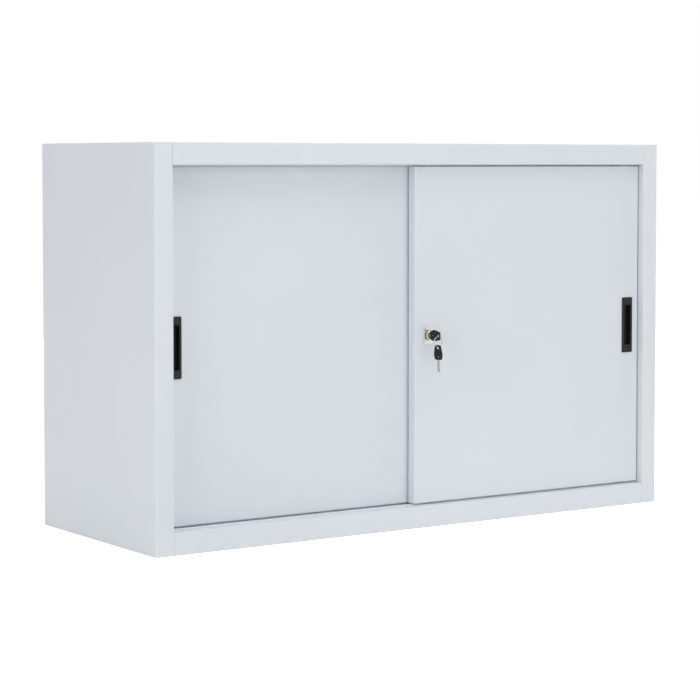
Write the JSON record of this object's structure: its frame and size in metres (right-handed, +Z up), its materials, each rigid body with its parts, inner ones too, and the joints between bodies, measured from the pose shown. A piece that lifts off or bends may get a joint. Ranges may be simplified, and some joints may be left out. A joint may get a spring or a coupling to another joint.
{
  "type": "sliding door cabinet",
  "caption": "Half-height steel cabinet with overlapping sliding doors on wheels, recessed pulls, a push lock with keys and an adjustable shelf.",
  "frame": {"origin": "on the floor under the middle of the cabinet's 1200 x 450 mm footprint", "axes": "+X to the right along the front, +Y from the front to the back, +Z up; the doors face -Y"},
  "size_m": [1.2, 0.4786, 0.75],
  "materials": {
    "powder_coat": "semi-matt light grey powder coat",
    "handle_plastic": "satin black moulding",
    "nylon": "natural white nylon",
    "zinc_steel": "bright zinc plate",
    "rubber": "matt",
    "lock_chrome": "polished nickel-chrome",
    "lock_core": "nickel-plated, satin",
    "spring_steel": "bright wire",
    "key_steel": "nickel-plated",
    "key_plastic": "satin black moulding",
    "ring_steel": "bright wire",
    "rivet_aluminium": "plain"
  },
  "bodies": {
    "cabinet": {"left_side_panel": "powder_coat", "right_side_panel": "powder_coat", "top_panel": "powder_coat", "bottom_panel": "powder_coat", "back_panel": "powder_coat", "base_stiffener": "powder_coat", "top_stiffener": "powder_coat", "top_track": "powder_coat", "bottom_track": "powder_coat", "track_end_stops": "rubber", "left_front_shelf_upright": "powder_coat", "left_rear_shelf_upright": "powder_coat", "right_front_shelf_upright": "powder_coat", "right_rear_shelf_upright": "powder_coat", "shelf_clips": "zinc_steel", "left_floor_runner": "powder_coat", "right_floor_runner": "powder_coat", "left_upper_channel": "powder_coat", "right_upper_channel": "powder_coat"},
    "shelf": {"shelf_board": "powder_coat", "shelf_stiffener": "powder_coat"},
    "rear_door": {"rear_door_panel": "powder_coat", "rear_door_stiffeners": "powder_coat", "rear_door_handle": "handle_plastic", "rear_door_wheel_housings": "nylon", "rear_door_wheel_axles": "zinc_steel", "rear_door_top_guides": "nylon"},
    "front_door": {"front_door_panel": "powder_coat", "front_door_stiffeners": "powder_coat", "front_door_handle": "handle_plastic", "front_door_wheel_housings": "nylon", "front_door_wheel_axles": "zinc_steel", "front_door_top_guides": "nylon", "lock_case": "lock_chrome", "lock_nut": "zinc_steel", "lock_spring": "spring_steel"},
    "lock_barrel": {"lock_barrel": "lock_chrome"},
    "lock_plug": {"lock_plug": "lock_core"},
    "key": {"key_blade": "key_steel", "key_bow": "key_plastic"},
    "key_ring": {"key_ring": "ring_steel"},
    "spare_key": {"spare_key_blade": "key_steel", "spare_key_bow": "key_plastic"},
    "front_door_left_wheel": {"front_door_left_wheel": "nylon"},
    "front_door_right_wheel": {"front_door_right_wheel": "nylon"},
    "rear_door_left_wheel": {"rear_door_left_wheel": "nylon"},
    "rear_door_right_wheel": {"rear_door_right_wheel": "nylon"}
  },
  "joints": [
    {"name": "front_door_slide", "type": "slide", "parent": "cabinet", "child": "front_door", "axis": [1, 0, 0], "range_m": [-0.545, 0]},
    {"name": "rear_door_slide", "type": "slide", "parent": "cabinet", "child": "rear_door", "axis": [-1, 0, 0], "range_m": [-0.5465, 0]},
    {"name": "shelf_lift", "type": "slide", "parent": "cabinet", "child": "shelf", "axis": [0, 0, 1], "range_m": [0, 0.02]},
    {"name": "lock_push", "type": "slide", "parent": "front_door", "child": "lock_barrel", "axis": [0, 1, 0], "range_m": [0, 0.008], "stiffness_N_per_m": 400, "springref_m": -0.012, "deforming": ["lock_spring"]},
    {"name": "key_turn", "type": "hinge", "parent": "lock_barrel", "child": "lock_plug", "pos_m": [0.0185, -0.214, 0.376], "axis": [0, 1, 0], "range_deg": [0, 90]},
    {"name": "key_pull", "type": "slide", "parent": "lock_plug", "child": "key", "axis": [0, -1, 0], "range_m": [0, 0.026]},
    {"name": "ring_swing", "type": "hinge", "parent": "key", "child": "key_ring", "pos_m": [0.018, -0.2425, 0.3741], "axis": [1, 0, 0], "range_deg": [-60, 20]},
    {"name": "spare_key_swing", "type": "hinge", "parent": "key_ring", "child": "spare_key", "pos_m": [0.0175, -0.2425, 0.3546], "axis": [1, 0, 0], "range_deg": [-60, 20]},
    {"name": "front_door_left_wheel_spin", "type": "hinge", "parent": "front_door", "child": "front_door_left_wheel", "pos_m": [0.037, -0.2, 0.0548], "axis": [0, 1, 0], "continuous": true},
    {"name": "front_door_right_wheel_spin", "type": "hinge", "parent": "front_door", "child": "front_door_right_wheel", "pos_m": [0.508, -0.2, 0.0548], "axis": [0, 1, 0], "continuous": true},
    {"name": "rear_door_left_wheel_spin", "type": "hinge", "parent": "rear_door", "child": "rear_door_left_wheel", "pos_m": [-0.5095, -0.1765, 0.0548], "axis": [0, 1, 0], "continuous": true},
    {"name": "rear_door_right_wheel_spin", "type": "hinge", "parent": "rear_door", "child": "rear_door_right_wheel", "pos_m": [-0.0385, -0.1765, 0.0548], "axis": [0, 1, 0], "continuous": true}
  ],
  "couplings": [
    {"joint": "front_door_left_wheel_spin", "follows": "front_door_slide", "rad_per_m": 104.71},
    {"joint": "front_door_right_wheel_spin", "follows": "front_door_slide", "rad_per_m": 104.71},
    {"joint": "rear_door_left_wheel_spin", "follows": "rear_door_slide", "rad_per_m": -104.71},
    {"joint": "rear_door_right_wheel_spin", "follows": "rear_door_slide", "rad_per_m": -104.71}
  ]
}
